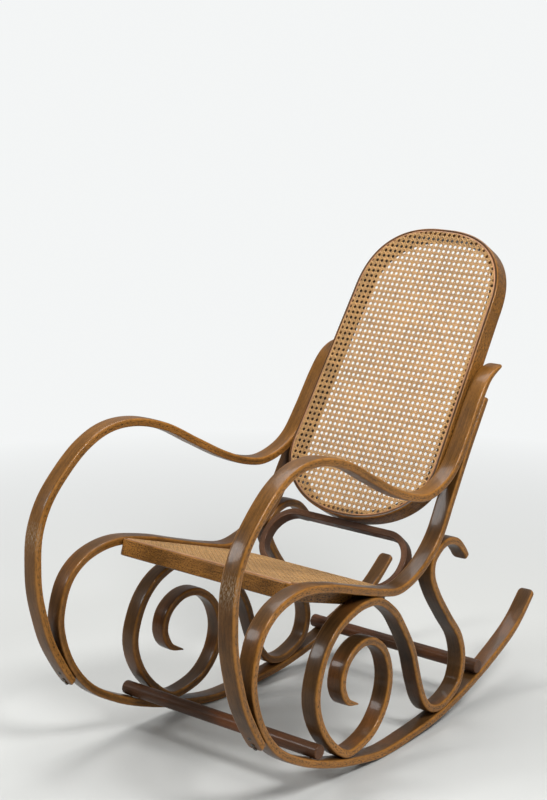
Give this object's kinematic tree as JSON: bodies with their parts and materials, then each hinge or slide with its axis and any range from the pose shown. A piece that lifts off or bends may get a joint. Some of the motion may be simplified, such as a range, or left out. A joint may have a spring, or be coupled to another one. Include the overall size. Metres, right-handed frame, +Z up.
{
  "type": "bentwood rocking chair",
  "caption": "Bentwood rocking chair with curved runners, scrolled sides, looped arms, and a woven cane seat and oval back.",
  "frame": {"origin": "on the floor, halfway along the chair and halfway across it", "axes": "+Z up; the sitter faces -Y; +X is the sitter's left"},
  "size_m": [0.564, 1.1162, 1.0205],
  "materials": {
    "stained_beech": "varnished satin",
    "dark_stained_beech": "varnished satin",
    "woven_cane": "woven",
    "cane_spline": "satin",
    "dark_steel": "dark"
  },
  "bodies": {
    "root": {"left_main_rail": "stained_beech", "left_arm": "stained_beech", "left_scroll": "stained_beech", "right_main_rail": "stained_beech", "right_arm": "stained_beech", "right_scroll": "stained_beech", "seat_frame": "stained_beech", "back_hoop": "stained_beech", "rear_hoop": "dark_stained_beech", "front_rod": "dark_stained_beech", "rear_rod": "dark_stained_beech", "seat_cane": "woven_cane", "back_cane": "woven_cane", "seat_spline": "cane_spline", "back_spline": "cane_spline", "left_arm_foot_screw_1": "dark_steel", "left_arm_foot_screw_2": "dark_steel", "left_arm_foot_screw_3": "dark_steel", "left_arm_top_screw_1": "dark_steel", "left_arm_top_screw_2": "dark_steel", "left_ring_foot_screw": "dark_steel", "left_ring_top_screw": "dark_steel", "left_loop_foot_screw": "dark_steel", "left_tail_screw": "dark_steel", "left_front_rod_screw": "dark_steel", "left_rear_rod_screw": "dark_steel", "left_front_seat_screw": "dark_steel", "left_rear_seat_screw": "dark_steel", "left_lower_back_screw": "dark_steel", "left_upper_back_screw": "dark_steel", "left_hoop_screw": "dark_steel", "left_back_foot_screw": "dark_steel", "right_arm_foot_screw_1": "dark_steel", "right_arm_foot_screw_2": "dark_steel", "right_arm_foot_screw_3": "dark_steel", "right_arm_top_screw_1": "dark_steel", "right_arm_top_screw_2": "dark_steel", "right_ring_foot_screw": "dark_steel", "right_ring_top_screw": "dark_steel", "right_loop_foot_screw": "dark_steel", "right_tail_screw": "dark_steel", "right_front_rod_screw": "dark_steel", "right_rear_rod_screw": "dark_steel", "right_front_seat_screw": "dark_steel", "right_rear_seat_screw": "dark_steel", "right_lower_back_screw": "dark_steel", "right_upper_back_screw": "dark_steel", "right_hoop_screw": "dark_steel", "right_back_foot_screw": "dark_steel"}
  },
  "joints": []
}
